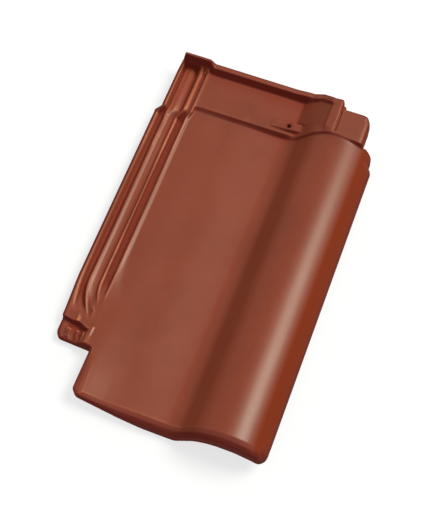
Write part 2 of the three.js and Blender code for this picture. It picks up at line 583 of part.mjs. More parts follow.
// A bar that tapers by its draft, from a rectangle at one height to a smaller one at another.
// A plumb foot keeps the side that faces down the roof upright.
function taperedBar({ left, right, foot, head, from, to, draft, plumbFoot = false }) {
  const base = new THREE.BoxGeometry(right - left, head - foot, 1);
  const position = base.attributes.position;
  for (let i = 0; i < position.count; i += 1) {
    const far = position.getZ(i) > 0;
    const narrow = far ? draft : 0;
    const upright = plumbFoot && position.getY(i) < 0;
    position.setX(i, position.getX(i) - Math.sign(position.getX(i)) * narrow);
    position.setY(i, position.getY(i) - (upright ? 0 : Math.sign(position.getY(i)) * narrow));
    position.setZ(i, far ? to : from);
  }
  if (to < from) base.index.array.reverse();
  base.translate((left + right) / 2 - WIDTH / 2, (foot + head) / 2 - LENGTH / 2, APRON_DEPTH);
  return base;
}

// Brings one side of a bar's top to another height.
function tilt(bar, height, side) {
  const position = bar.attributes.position;
  bar.computeBoundingBox();
  const { min, max } = bar.boundingBox;
  for (let i = 0; i < position.count; i += 1) {
    const onSide = side === 'left' ? position.getX(i) < (min.x + max.x) / 2 : position.getY(i) < (min.y + max.y) / 2;
    if (onSide && position.getZ(i) > max.z - MESH_GAP) position.setZ(i, height + APRON_DEPTH);
  }
}

// Two nibs that hook over the batten. Their lower faces stand square, and their foot faces stop the tile.
function nibs() {
  const middle = (panX + valleyX) / 2;
  return [-1, 1].map((side) => {
    const centre = middle + (side * (NIB.width + NIB.gap)) / 2;
    return taperedBar({
      left: centre - NIB.width / 2,
      right: centre + NIB.width / 2,
      foot: nibY,
      head: nibY + NIB.length,
      from: ROOT - THICKNESS,
      to: -APRON_DEPTH,
      draft: NIB.draft,
      plumbFoot: true,
    });
  });
}

// Ribs along the underside of the pan.
function stiffeners() {
  const middle = (panX + valleyX) / 2;
  return [-0.5, 0.5].map((place) => {
    const centre = middle + place * STIFFENER.pitch;
    return taperedBar({
      left: centre - STIFFENER.width / 2,
      right: centre + STIFFENER.width / 2,
      foot: FOOT_WALL - ROOT,
      head: nibY + NIB.length / 2,
      from: ROOT - THICKNESS,
      to: -THICKNESS - VALLEY_DEPTH / 2 - STIFFENER.depth,
      draft: STIFFENER.draft,
    });
  });
}

// The thick edge under the roll: a rib that stands in the neighbour's wide channel, and a groove over its ridge.
function coverEdge() {
  const pitch = WIDTH - LOCK_WIDTH - COVER_OVER_PAN;
  const ribLeft = pitch + LOCK_WIDTH * THIN_RIB_END + COVER_RIB.draft;
  const ribRight = ribLeft + COVER_RIB.width;
  const grooveRight = WIDTH - THICKNESS + ROOT;
  const ribFoot = WIDE_CHANNEL + COVER_RIB.play;
  const profile = new THREE.Shape([
    new THREE.Vector2(ribLeft + COVER_RIB.draft, ribFoot),
    new THREE.Vector2(ribRight - COVER_RIB.draft, ribFoot),
    new THREE.Vector2(ribRight, COVER_GROOVE_HEIGHT),
    new THREE.Vector2(grooveRight, COVER_GROOVE_HEIGHT),
    new THREE.Vector2(grooveRight, COVER_EDGE_HEIGHT),
    new THREE.Vector2(ribRight, rollSection(ribRight, THICKNESS / 2)),
    new THREE.Vector2(ribLeft - COVER_RIB.draft, rollSection(ribLeft, THICKNESS / 2)),
  ]);
  const foot = notchY + COVER_END_GAP;
  const head = stepY - COVER_END_GAP;
  const edge = new THREE.ExtrudeGeometry(profile, { depth: head - foot, bevelEnabled: false });
  edge.rotateX(Math.PI / 2);
  edge.translate(-WIDTH / 2, head - LENGTH / 2, APRON_DEPTH);
  return edge;
}

// The wedge-shaped boss round the nail hole.
function nailBoss() {
  const boss = taperedBar({
    left: nailX - BOSS.left,
    right: nailX + BOSS.right,
    foot: nailY - BOSS.length / 2,
    head: nailY + BOSS.length / 2,
    from: PANEL_RISE - BOSS.draft,
    to: PANEL_RISE + BOSS.high,
    draft: BOSS.draft,
  });
  tilt(boss, PANEL_RISE + BOSS.low, 'left');
  return boss;
}

function nailHole() {
  const hole = new THREE.CylinderGeometry(NAIL_DIAMETER / 2, NAIL_DIAMETER / 2, 2 * APRON_DEPTH, 20);
  hole.rotateX(Math.PI / 2);
  hole.translate(nailX - WIDTH / 2, nailY - LENGTH / 2, APRON_DEPTH);
  return hole;
}

// A small bar on the shelf or the tail whose top rises or falls towards the head.
function wedge({ across, along, tops }) {
  const [left, right] = across.map((share) => share * LOCK_WIDTH);
  const bar = taperedBar({
    left,
    right,
    foot: notchY + along[0],
    head: notchY + along[1],
    from: SHELF_HEIGHT - ROOT,
    to: SHELF_HEIGHT + tops[1],
    draft: WEDGE_DRAFT,
  });
  tilt(bar, SHELF_HEIGHT + tops[0], 'foot');
  return bar;
}

// The small stop behind the neck, in the corner beside the plate.
function knob() {
  return taperedBar({
    left: neckX + KNOB.left,
    right: neckX + KNOB.left + KNOB.width,
    foot: plateY - ROOT,
    head: plateY + KNOB.length,
    from: KNOB.height - KNOB.root,
    to: KNOB.height,
    draft: WEDGE_DRAFT,
  });
}

function roofTile() {
  let tile = solid(tileShell());
  const added = [...nibs(), ...stiffeners(), coverEdge(), nailBoss(), knob(), ...[...SHELF_RIBS, FIN].map(wedge)];
  for (const form of added) tile = tile.add(solid(form));
  tile = tile.subtract(solid(nailHole())).simplify(FLATNESS);
  const clay = new THREE.MeshStandardMaterial({ color: 0x8a4632, roughness: 0.45, metalness: 0 });
  const mesh = new THREE.Mesh(geometryOf(tile), clay);
  mesh.name = 'roof_tile';
  return mesh;
}

const group = new THREE.Group();
group.add(roofTile());

export default group;
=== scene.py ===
"""An interlocking clay roof tile with a satin engobe, lying on a pale studio floor.

Metres, Z up. The tile's foot is towards -Y, its roll on the right (+X) and its ribbed lock on the left.
"""

import bpy
import numpy as np
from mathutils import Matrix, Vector
from mathutils.bvhtree import BVHTree


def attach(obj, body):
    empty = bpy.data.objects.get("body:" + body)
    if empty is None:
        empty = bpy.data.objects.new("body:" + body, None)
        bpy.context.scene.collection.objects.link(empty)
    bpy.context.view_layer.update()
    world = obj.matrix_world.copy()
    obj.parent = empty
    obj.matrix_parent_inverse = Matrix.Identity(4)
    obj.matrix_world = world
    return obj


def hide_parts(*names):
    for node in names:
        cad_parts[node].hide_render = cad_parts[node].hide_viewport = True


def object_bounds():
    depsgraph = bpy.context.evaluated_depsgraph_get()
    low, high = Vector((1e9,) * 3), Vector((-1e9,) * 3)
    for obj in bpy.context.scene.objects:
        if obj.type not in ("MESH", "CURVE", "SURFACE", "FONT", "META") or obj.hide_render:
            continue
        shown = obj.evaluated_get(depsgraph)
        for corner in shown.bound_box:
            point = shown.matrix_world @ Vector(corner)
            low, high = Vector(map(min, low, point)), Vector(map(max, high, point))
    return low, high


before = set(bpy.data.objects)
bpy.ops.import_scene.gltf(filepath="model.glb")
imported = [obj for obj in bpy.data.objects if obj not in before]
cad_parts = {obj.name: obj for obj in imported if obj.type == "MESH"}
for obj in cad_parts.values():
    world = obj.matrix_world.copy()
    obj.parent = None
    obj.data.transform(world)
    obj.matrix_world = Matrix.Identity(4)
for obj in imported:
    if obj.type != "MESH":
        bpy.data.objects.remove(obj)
solid_low, solid_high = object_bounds()

# The skin's mesh
CLAY_GRAIN = 0.00085         # voxel of the remeshed skin
SKIN_TRIANGLES = 190_000
MERGE_REACH = 1e-6
WARP = 0.0005                # how far the broad faces stray from true ones
WARP_LENGTH = 0.07
SOFTENING = 0.5              # share of each round of smoothing
EDGE_ROUNDS = 2              # rounds of it: everywhere, on broad faces, and at the roll's foot corner
BROAD_ROUNDS = 60
CORNER_ROUNDS = 50
CORNER_REACH = (0.022, 0.012)    # from that corner's two edges: where its smoothing begins and is whole
BROAD_BEND = (25.0, 45.0)    # broad up to the first bend, and an edge from the second, in 1/m
SHORTEST_EDGE = 1e-6

# The facets trimmed on the wet clay
FACET_WIDTH = 0.010          # along the foot
FACET_SLOPE = 0.32
FACET_END = (0.008, 0.02)    # from the right edge: where it has died out, and where it is whole
CHAMFER_WIDTH = 0.0045       # the chamfer below it
CHAMFER_STEEPER = 3
SIDE_FACET_WIDTH = 0.012     # along the pan's free left edge
SIDE_FACET_SLOPE = 0.2
CORNER_DISH = 0.0012         # depth of the shallow dish at the pan's foot corner
DISH_ACROSS = (0.04, 0.05, 0.1)    # from the free edge: deepest between the first two, gone at the third
DISH_ALONG = (0.03, 0.08)    # from the foot: deepest up to the first, gone at the second
PROFILE_PLACE = 0.012        # the section that they are trimmed from, this far in from the foot
UPPER_FACE_DEPTH = 0.004     # what lies this close under its highest point belongs to the upper face

# Which way a face looks, as a share of its normal
LOOKS_UP = 0.2
LEVEL_ENOUGH = 0.5
RUN_DOWN = 0.3               # towards the roll's side or the foot: walls facing there also get the painted dark rim
RIM_TOP, RIM_WALL = 0.35, -0.1    # how far a face has to look up for the painted dark rim, and how far down such a wall may look
LOOKS_RIGHT = 0.2

# How the engobe lies on the clay, and where light and shade are painted on it
RAY_START = 0.0004           # how far off the surface its spray is traced
SPRAY_RINGS = [(0.0, 1, 0.0), (0.85, 6, 0.0), (1.3, 6, 0.5)]    # lean in radians, how many, turn in steps
GRAZING = 0.05               # a face that turns further away from the spray gets none of it
RIM_REACH = 0.0026           # how far in from the tile's outline its painted dark rim reaches: painted shade
RIM_REACH_LEFT = 1.6         # times that towards the left edge
RIM_STEPS = 8
RIM_FULL = 2.5               # steps that have to miss the tile for a full rim
SIDEWAYS = Vector((0.98, 0.0, 0.17))    # an outer side has nothing before it in this direction
BEND_LIMIT = 900             # bends are cut off here, in 1/m
CONVEX_FULL = 150.0          # and these count as fully convex and fully hollow
HOLLOW_FULL = 110.0
RIBS_TOP = (0.0275, 0.03)    # the lock's ribs end at this height; edges above it are lightened less
HIGH_EDGES_SPARED = 0.8

# Painted light and shade, the thicker coat on the head lap and the facet strip: where each begins, is whole,
# fades and is gone, from the edge that is named
LIT_WALL_ACROSS = (0.0345, 0.038, 0.0435, 0.0455)    # left edge: painted light on the wide channel's shaded wall beside the pan
LIT_WALL_AT_FOOT, LIT_WALL_AT_HEAD = (0.14, 0.17), (0.075, 0.09)
LIT_WALL_SHARE = 0.3
LAP_ACROSS = (0.050, 0.055, 0.265, 0.268)         # left edge: the raised head, which goes under the next tile
LAP_ALONG = (0.010, 0.014, 0.070, 0.078)          # head edge
LAP_SHARE = 0.7
AT_HEAD = (0.03, 0.02)                            # head edge: the upstand and the ends of the ribs, which get less painted shade
RIB_ENDS_ACROSS, RIB_ENDS_ALONG = (0.052, 0.044), (0.004, 0.008)
RIB_ENDS_SPARED, UPSTAND_SPARED = 0.8, 0.12
CORNER_SHEEN_ACROSS = (0.004, 0.018, 0.03, 0.07)        # painted sheen at the pan's foot corner: from the pan's free edge, and the foot
CORNER_SHEEN_ALONG = (0.002, 0.016, 0.03, 0.11)
STRIP_WHOLE = 0.008                               # the pan's free edge: the strip on its facet

# From where to where each measure on the skin brings its finish in, and the most of that finish
SUNK_RANGE, POOLED_AND_SHADE_SHARE = (0.14, 0.5), 0.75
CREASE_SHADE_SHARE = 0.3
FLANK_SHADE_RANGE = (0.33, 0.64)
OUTER_DULL_RANGE = (0.44, 0.62)
STEEP_RANGE = (0.08, 0.45)
# faces towards the foot and the outline rim are painted dark: painted shade
FRONT_RANGE, PAINTED_SHADE_SHARE = (0.06, 0.42), 0.9
DARK_ENOUGH = 0.5            # a face painted as dark as this has no lighter edges
THIN_AND_HIGHLIGHT_SHARE = (0.5, 0.75)
CORNER_SHEEN_SHARE = (0.7, 1.0)
SPECK_SHARE, GROG_SHARE = 0.35, 0.5
COAT_RANGE, COAT_STRAY = (0.05, 0.13), 0.3
MOTTLE_RANGE, SATIN_RANGE = (0.35, 0.65), (0.3, 0.7)
SATIN_ROUGHNESS = (0.36, 0.41)
POOLED_ROUGHER, SPECK_ROUGHER = 0.6, 0.1
DULL_ROUGHNESS, BARE_ROUGHNESS = 1.0, 0.82
ENGOBE_IOR, ENGOBE_SPECULAR = 1.5, 0.35

# Grain and specks of the clay: noises as scale, detail and roughness
FINE_GRAIN, SLOW_SWELL, MOTTLE = (900.0, 4.0, 0.6), (38.0, 3.0, 0.5), (14.0, 5.0, 0.6)
FINE_HEIGHT, SLOW_HEIGHT = 0.25, 1.0
RELIEF_STRENGTH, RELIEF_DEPTH = 0.12, 0.0008
SPECK_SCALE, SPECK_AMOUNT = 420.0, 0.1
SPECK_DOT = (0.12, 0.34)     # a speck is whole up to the first distance, and gone at the second

# Finishes, painted light and shade among them, as linear colours
ENGOBE_DEEP = (0.211, 0.0320, 0.0070, 1.0)
ENGOBE_LIGHT = (0.239, 0.0385, 0.0100, 1.0)
# partly engobe pooling in the hidden channels, partly painted shade and red bounce light there
POOLED_COAT_AND_SHADE = (0.31, 0.032, 0.011, 1.0)
# edges: partly a thinner coat over lighter clay, partly a painted highlight
THIN_COAT_AND_HIGHLIGHT = (0.68, 0.205, 0.105, 1.0)
# painted shade in creases, and the thicker coat on the head lap
CREASE_SHADE_AND_LAP = (0.12, 0.015, 0.003, 1.0)
# a painted sheen: the pan's foot corner lighter
PAINTED_CORNER_SHEEN = (0.275, 0.065, 0.030, 1.0)
ENGOBE_STRIP = (0.235, 0.040, 0.013, 1.0)
# painted shade: the roll's right flank darker and redder
PAINTED_FLANK_SHADE = (0.20, 0.020, 0.0, 1.0)
# painted shade: the dark colour of faces towards the foot and of the outline rim
PAINTED_SHADE_DARK = (0.138, 0.008, 0.002, 1.0)
IRON_SPECK = (0.09, 0.02, 0.012, 1.0)
CLAY_DEEP = (0.50, 0.17, 0.075, 1.0)
CLAY_LIGHT = (0.58, 0.22, 0.10, 1.0)
GROG_SPECK = (0.30, 0.10, 0.05, 1.0)
FLOOR_PAPER = (0.34, 0.338, 0.352, 1.0)
WHITE = (1.0, 1.0, 1.0, 1.0)

# Camera and studio
LENS, SENSOR = 79.615, 36.0  # millimetres
NEAREST, FARTHEST = 0.01, 30.0
CAMERA_PLACE = Vector((0.2038, -0.5621, 1.2664))
CAMERA_TARGET = Vector((0.0005, -0.0192, 0.024))
LAMP_DISTANCE = 4.0
KEY_DIRECTION = Vector((0.466, 0.255, 0.847))
KEY_SIZE = 1.9
KEY_POWER = 115.0            # watts
KEY_COLOUR = (0.945, 1.0, 0.865)
SHEEN_DIRECTION = Vector((0.385, 0.26, 0.885))
SHEEN_SIZE = 2.2
SHEEN_POWER = 59.0
SHEEN_COLOUR = (0.86, 1.0, 0.76)
FILL_LEVEL = 0.44
FLOOR_SIZE = 8.0
FLOOR_GLOW = 0.69


# ---------------------------------------------------------------- small helpers

def select_only(piece):
    """Makes one object the only one selected and the active one."""
    bpy.ops.object.select_all(action="DESELECT")
    piece.select_set(True)
    bpy.context.view_layer.objects.active = piece


def add_modifier(piece, kind, **settings):
    """Adds a modifier with its settings and applies it."""
    select_only(piece)
    modifier = piece.modifiers.new(kind.lower(), kind)
    for name, value in settings.items():
        setattr(modifier, name, value)
    bpy.ops.object.modifier_apply(modifier=modifier.name)


def vertex_places(mesh):
    """Where the vertices are, a row each."""
    places = np.empty(len(mesh.vertices) * 3, np.float32)
    mesh.vertices.foreach_get("co", places)
    return places.reshape(-1, 3).astype(np.float64)


def vertex_normals(mesh):
    """Which way the surface faces at the vertices, a row each."""
    normals = np.empty(len(mesh.vertices) * 3, np.float32)
    mesh.vertex_normals.foreach_get("vector", normals)
    return normals.reshape(-1, 3).astype(np.float64)


def edge_ends(mesh):
    """The two vertices of each edge."""
    ends = np.empty(len(mesh.edges) * 2, np.int32)
    mesh.edges.foreach_get("vertices", ends)
    return ends.reshape(-1, 2)


def averaged(values, ends, count, rounds):
    """Spreads a value per vertex along the edges, as a brush would."""
    result = values.astype(np.float64)
    near = np.bincount(ends.ravel(), minlength=count).clip(1)
    for _ in range(rounds):
        total = np.bincount(ends[:, 0], result[ends[:, 1]], count)
        total += np.bincount(ends[:, 1], result[ends[:, 0]], count)
        result = 0.5 * result + 0.5 * total / near
    return result


def ramp(values, start, end):
    """Nought at the start and one at the end, and straight between."""
    return np.clip((values - start) / (end - start), 0, 1)


def plateau(values, start, full, fading, end):
    """Nought up to the start, one from full to fading, and nought again from the end."""
    return ramp(values, start, full) * ramp(values, end, fading)


def store(mesh, name, values):
    """Keeps a value per vertex as a named attribute for the material."""
    attribute = mesh.attributes.new(name, "FLOAT", "POINT")
    attribute.data.foreach_set("value", values.astype(np.float32))


# ---------------------------------------------------------------- the tile

def press_tile(node):
    """The tile's skin: the CAD solid with the softened edges and slight warp of pressed and fired clay."""
    skin = bpy.data.objects.new("tile_skin", node.data.copy())
    bpy.context.scene.collection.objects.link(skin)
    select_only(skin)
    bpy.ops.object.mode_set(mode="EDIT")
    bpy.ops.mesh.select_all(action="SELECT")
    bpy.ops.mesh.remove_doubles(threshold=MERGE_REACH)
    bpy.ops.object.mode_set(mode="OBJECT")
    add_modifier(skin, "REMESH", mode="VOXEL", voxel_size=CLAY_GRAIN, use_smooth_shade=True)
    trim_foot(skin)
    weigh_foot_corner(skin, skin.vertex_groups.new(name="foot_corner"))
    add_modifier(skin, "SMOOTH", factor=SOFTENING, iterations=CORNER_ROUNDS, vertex_group="foot_corner")
    add_modifier(skin, "SMOOTH", factor=SOFTENING, iterations=EDGE_ROUNDS)
    weigh_broad_faces(skin, skin.vertex_groups.new(name="broad"))
    add_modifier(skin, "SMOOTH", factor=SOFTENING, iterations=BROAD_ROUNDS, vertex_group="broad")
    skin.data.calc_loop_triangles()
    share = min(1.0, SKIN_TRIANGLES / len(skin.data.loop_triangles))
    add_modifier(skin, "DECIMATE", ratio=share, use_collapse_triangulate=True)
    warp = bpy.data.textures.new("kiln_warp", "CLOUDS")
    warp.noise_scale, warp.noise_depth = WARP_LENGTH, 1
    add_modifier(skin, "DISPLACE", texture=warp, texture_coords="LOCAL", direction="NORMAL",
                 strength=WARP, mid_level=0.5, vertex_group="broad")
    keep_in_box(skin)
    return skin


def foot_distances(places):
    """How far each vertex is in from the foot and from the pan's left edge, and how free that edge is there."""
    up = places[:, 1] - solid_low[1]
    inward = places[:, 0] - places[up < 2 * FACET_WIDTH, 0].min()
    notch = up[inward < -SIDE_FACET_WIDTH].min()
    return up, inward, ramp(up, notch, notch - 2 * FACET_WIDTH)


def top_profile(places, normals, up):
    """The height of the upper face across the tile, just behind the foot: places across and heights."""
    row = places[(np.abs(up - PROFILE_PLACE) < CLAY_GRAIN) & (normals[:, 2] > LOOKS_UP)]
    column = ((row[:, 0] - solid_low[0]) / (2 * CLAY_GRAIN)).astype(int)
    highest = np.zeros(column.max() + 1)
    np.maximum.at(highest, column, row[:, 2])
    on_top = row[:, 2] > highest[column] - UPPER_FACE_DEPTH
    total = np.bincount(column[on_top])
    sums = [np.bincount(column[on_top], row[on_top, axis]) for axis in (0, 2)]
    return [values[total > 0] / total[total > 0] for values in sums]


def trim_foot(skin):
    """The facets trimmed along the foot and the pan's free edge, and the shallow dish at their corner."""
    mesh = skin.data
    places, normals = vertex_places(mesh), vertex_normals(mesh)
    up, inward, free = foot_distances(places)
    x, z = places[:, 0], places[:, 2]
    profile, heights = top_profile(places, normals, up)
    level = np.interp(x, profile, heights)
    pan_level = np.interp(1.5 * SIDE_FACET_WIDTH, inward[:1] - x[:1] + profile, heights)
    slope = FACET_SLOPE * ramp(solid_high[0] - x, *FACET_END)
    foot_limit = level - slope * (FACET_WIDTH - up) - CHAMFER_STEEPER * slope * (CHAMFER_WIDTH - up).clip(0)
    foot_limit = np.where(slope > 0, foot_limit, solid_high[2])
    side_limit = pan_level - SIDE_FACET_SLOPE * free * (SIDE_FACET_WIDTH - inward)
    z = np.where(up < FACET_WIDTH, np.minimum(z, foot_limit), z)
    z = np.where((free > 0) & (inward < SIDE_FACET_WIDTH), np.minimum(z, side_limit), z)
    across = plateau(inward, SIDE_FACET_WIDTH, *DISH_ACROSS)
    along = plateau(up, 0.0, FACET_WIDTH, *DISH_ALONG)
    places[:, 2] = z - np.where(normals[:, 2] > LEVEL_ENOUGH, CORNER_DISH * across * along, 0.0)
    mesh.vertices.foreach_set("co", places.astype(np.float32).ravel())
    mesh.update()


def bend_of(mesh):
    """How sharply the surface turns at each vertex, in 1/m: above zero where it is convex."""
    places, normals, ends = vertex_places(mesh), vertex_normals(mesh), edge_ends(mesh)
    count = len(places)
    along = places[ends[:, 1]] - places[ends[:, 0]]
    length = np.linalg.norm(along, axis=1).clip(SHORTEST_EDGE)
    turn = np.einsum("ij,ij->i", normals[ends[:, 1]] - normals[ends[:, 0]], along) / length ** 2
    near = np.bincount(ends.ravel(), minlength=count).clip(1)
    return (np.bincount(ends[:, 0], turn, count) + np.bincount(ends[:, 1], turn, count)) / near


def fill_group(group, weight):
    """Puts every vertex with a weight into a vertex group, in steps of a tenth."""
    for step in range(1, 11):
        chosen = np.flatnonzero(np.round(weight * 10) == step)
        if len(chosen):
            group.add(chosen.tolist(), step / 10, "REPLACE")


def weigh_foot_corner(skin, group):
    """Gives the corner where the foot meets the roll's outer side its weight."""
    places = vertex_places(skin.data)
    from_side, from_foot = solid_high[0] - places[:, 0], places[:, 1] - solid_low[1]
    fill_group(group, ramp(from_side, *CORNER_REACH) * ramp(from_foot, *CORNER_REACH))


def weigh_broad_faces(skin, group):
    """Gives the broad faces of pan and roll full weight, and edges and ribs none."""
    mesh = skin.data
    ends, count = edge_ends(mesh), len(mesh.vertices)
    bend = averaged(np.abs(averaged(bend_of(mesh), ends, count, 4)), ends, count, 6)
    up, inward, free = foot_distances(vertex_places(mesh))
    weight = (1.0 - ramp(bend, *BROAD_BEND)) * ramp(up, FACET_WIDTH, 2 * FACET_WIDTH)
    weight *= 1.0 - np.where(free > 0, ramp(inward, 2 * SIDE_FACET_WIDTH, SIDE_FACET_WIDTH), 0.0)
    fill_group(group, weight)


def keep_in_box(skin):
    """Presses back what the softening pushed out of the solid's box."""
    places = np.clip(vertex_places(skin.data), np.array(solid_low), np.array(solid_high))
    skin.data.vertices.foreach_set("co", places.astype(np.float32).ravel())
    skin.data.update()


def sky_directions():
    """Directions that the engobe is sprayed from: straight down, and two rings round that."""
    for lean, count, turn in SPRAY_RINGS:
        for step in range(count):
            angle = 2 * np.pi * (step + turn) / count
            outwards = np.sin(lean)
            yield Vector((outwards * np.cos(angle), outwards * np.sin(angle), np.cos(lean)))


def spray(places, normals, tree):
    """How much engobe reaches each vertex, and how much of it the clay around the vertex keeps off."""
    starts = [Vector(row) for row in (places + normals * RAY_START)]
    coated, open_ways, ways = np.zeros((3, len(places)))
    level = 0.0
    for direction in sky_directions():
        facing = normals @ np.array(direction)
        level += direction.z
        for i in np.flatnonzero(facing > GRAZING):
            ways[i] += 1
            if tree.ray_cast(starts[i], direction)[0] is None:
                open_ways[i] += 1
                coated[i] += facing[i]
    return coated / level, 1.0 - open_ways / ways.clip(1)


def outline_rim(places, normals, tree):
    """Up to one where the tile's outline, seen from straight above, is less than RIM_REACH away.

    The walls that face left and the head are left out. This marks the painted dark rim: painted shade along the
    outline.
    """
    missed = np.zeros(len(places))
    above, down = solid_high[2] + RIM_REACH, Vector((0, 0, -1))
    run_to = (normals[:, 0] > RUN_DOWN) | (normals[:, 1] < -RUN_DOWN)
    upper = np.flatnonzero((normals[:, 2] > RIM_TOP) | (run_to & (normals[:, 2] > RIM_WALL)))
    for step in range(RIM_STEPS):
        angle = 2 * np.pi * step / RIM_STEPS
        reach = RIM_REACH * (RIM_REACH_LEFT if np.cos(angle) < -0.5 else 1.0)
        across, along = reach * np.cos(angle), reach * np.sin(angle)
        for i in upper:
            start = Vector((places[i, 0] + across, places[i, 1] + along, above))
            missed[i] += tree.ray_cast(start, down)[0] is None
    return ramp(missed, 0, RIM_FULL)


def outer_side(places, normals, tree):
    """How much the surface faces right, where nothing stands to the right of it."""
    facing = np.clip(normals[:, 0], 0, 1)
    for i in np.flatnonzero(facing > LOOKS_RIGHT):
        start = Vector(places[i] + normals[i] * RAY_START)
        if tree.ray_cast(start, SIDEWAYS)[0] is not None:
            facing[i] = 0.0
    return facing


def mark_skin(skin):
    """Stores where the clay is convex, hollow, steep or hidden, and where light and shade are painted, for the
    engobe to follow.
    """
    mesh = skin.data
    places, normals = vertex_places(mesh), vertex_normals(mesh)
    ends, count = edge_ends(mesh), len(places)
    tree = BVHTree.FromPolygons(places.tolist(), [tuple(face.vertices) for face in mesh.polygons])
    left, behind = places[:, 0] - solid_low[0], solid_high[1] - places[:, 1]
    up, inward, free = foot_distances(places)
    bend = np.clip(bend_of(mesh), -BEND_LIMIT, BEND_LIMIT)

    # Edges, lighter where the coat is thinner and with a painted highlight, and painted light on the shaded
    # wall of the wide channel
    low_down = 1.0 - HIGH_EDGES_SPARED * ramp(places[:, 2], *RIBS_TOP)
    convex = np.clip(averaged(bend, ends, count, 2) / CONVEX_FULL, 0, 1) * low_down
    # painted light: the wide channel's wall, shaded by the ridge, takes the edges' lighter colour
    painted_wall_light = plateau(left, *LIT_WALL_ACROSS) * ramp(up, *LIT_WALL_AT_FOOT) * ramp(behind, *LIT_WALL_AT_HEAD)
    painted_wall_light *= ramp(normals[:, 2], LOOKS_UP, LEVEL_ENOUGH)
    store(mesh, "convex", np.maximum(convex, LIT_WALL_SHARE * painted_wall_light))

    # Creases, painted darker as painted shade, and the thicker coat on the head lap
    hollow = np.clip(averaged(-averaged(bend, ends, count, 3), ends, count, 3) / HOLLOW_FULL, 0, 1)
    lap = plateau(behind, *LAP_ALONG) * plateau(left, *LAP_ACROSS)
    store(mesh, "hollow", np.maximum(hollow, LAP_SHARE * lap))

    coated, hidden = spray(places, normals, tree)
    store(mesh, "coated", averaged(coated, ends, count, 4))
    # how hidden each vertex is: there pooling engobe and painted shade make the channels redder
    store(mesh, "sunk", np.clip(averaged(hidden, ends, count, 5), 0, 1))
    store(mesh, "steep", np.clip(1.0 - averaged(normals[:, 2], ends, count, 3), 0, 1))

    # Faces towards the foot, painted dark as painted shade: less so on the upstand, and least at the ends of
    # the ribs
    front = np.clip(-averaged(normals[:, 1], ends, count, 3), 0, 1)
    at_head = ramp(behind, *AT_HEAD)
    rib_ends = ramp(left, *RIB_ENDS_ACROSS) * at_head * ramp(behind, *RIB_ENDS_ALONG)
    store(mesh, "front", front * (1.0 - RIB_ENDS_SPARED * rib_ends) * (1.0 - UPSTAND_SPARED * at_head))

    # the painted dark rim: painted shade along the tile's outline
    store(mesh, "rim", averaged(outline_rim(places, normals, tree), ends, count, 2))
    # a painted sheen, lighter near the pan's foot corner
    store(mesh, "painted_sheen", plateau(inward, *CORNER_SHEEN_ACROSS) * plateau(up, *CORNER_SHEEN_ALONG))
    store(mesh, "strip", free * ramp(inward, SIDE_FACET_WIDTH, STRIP_WHOLE))
    # how far the roll's right flank faces right, for its painted shade and duller gloss
    store(mesh, "outer_side", averaged(outer_side(places, normals, tree), ends, count, 6))


# ---------------------------------------------------------------- materials

def node_group(name, inputs, outputs):
    """An empty shader group with named sockets: (name, kind, default)."""
    group = bpy.data.node_groups.new(name, "ShaderNodeTree")
    for label, kind, value in inputs:
        socket = group.interface.new_socket(label, in_out="INPUT", socket_type=kind)
        socket.default_value = value
    for label, kind in outputs:
        group.interface.new_socket(label, in_out="OUTPUT", socket_type=kind)
    return group


class Bench:
    """Places and links the nodes of one tree."""

    def __init__(self, tree):
        self.tree = tree

    def add(self, kind, inputs=None, **settings):
        """A node with its settings, and each input linked or given its value."""
        node = self.tree.nodes.new(kind)
        for name, value in settings.items():
            setattr(node, name, value)
        for key, value in (inputs or {}).items():
            if isinstance(value, bpy.types.NodeSocket):
                self.tree.links.new(value, node.inputs[key])
            else:
                node.inputs[key].default_value = value
        return node

    def noise(self, vector, scale, detail, roughness):
        """Soft noise from nought to one."""
        sockets = {"Vector": vector, "Scale": scale, "Detail": detail, "Roughness": roughness}
        return self.add("ShaderNodeTexNoise", sockets).outputs["Fac"]

    def math(self, operation, first, second):
        """One sum with two numbers."""
        return self.add("ShaderNodeMath", {0: first, 1: second}, operation=operation).outputs[0]

    def spread(self, value, low, high, to_low=0.0, to_high=1.0):
        """The value drawn out from one range to another, and held at its ends."""
        sockets = {"Value": value, "From Min": low, "From Max": high, "To Min": to_low, "To Max": to_high}
        return self.add("ShaderNodeMapRange", sockets).outputs["Result"]

    def blend(self, share, first, second):
        """One colour laid over another."""
        return self.add("ShaderNodeMix", {0: share, 6: first, 7: second}, data_type="RGBA").outputs[2]

    def between(self, share, first, second):
        """One number passing into another."""
        return self.add("ShaderNodeMix", {0: share, 2: first, 3: second}, data_type="FLOAT").outputs[0]

    def attribute(self, name):
        """A measure that mark_skin stored on the skin."""
        return self.add("ShaderNodeAttribute", attribute_name=name).outputs["Fac"]

    def seen_directly(self):
        """One for the rays that show a background: from the camera, off gloss, and through glass."""
        rays = self.add("ShaderNodeLightPath").outputs
        gloss = self.math("MAXIMUM", rays["Is Glossy Ray"], rays["Is Transmission Ray"])
        return self.math("MAXIMUM", rays["Is Camera Ray"], gloss)


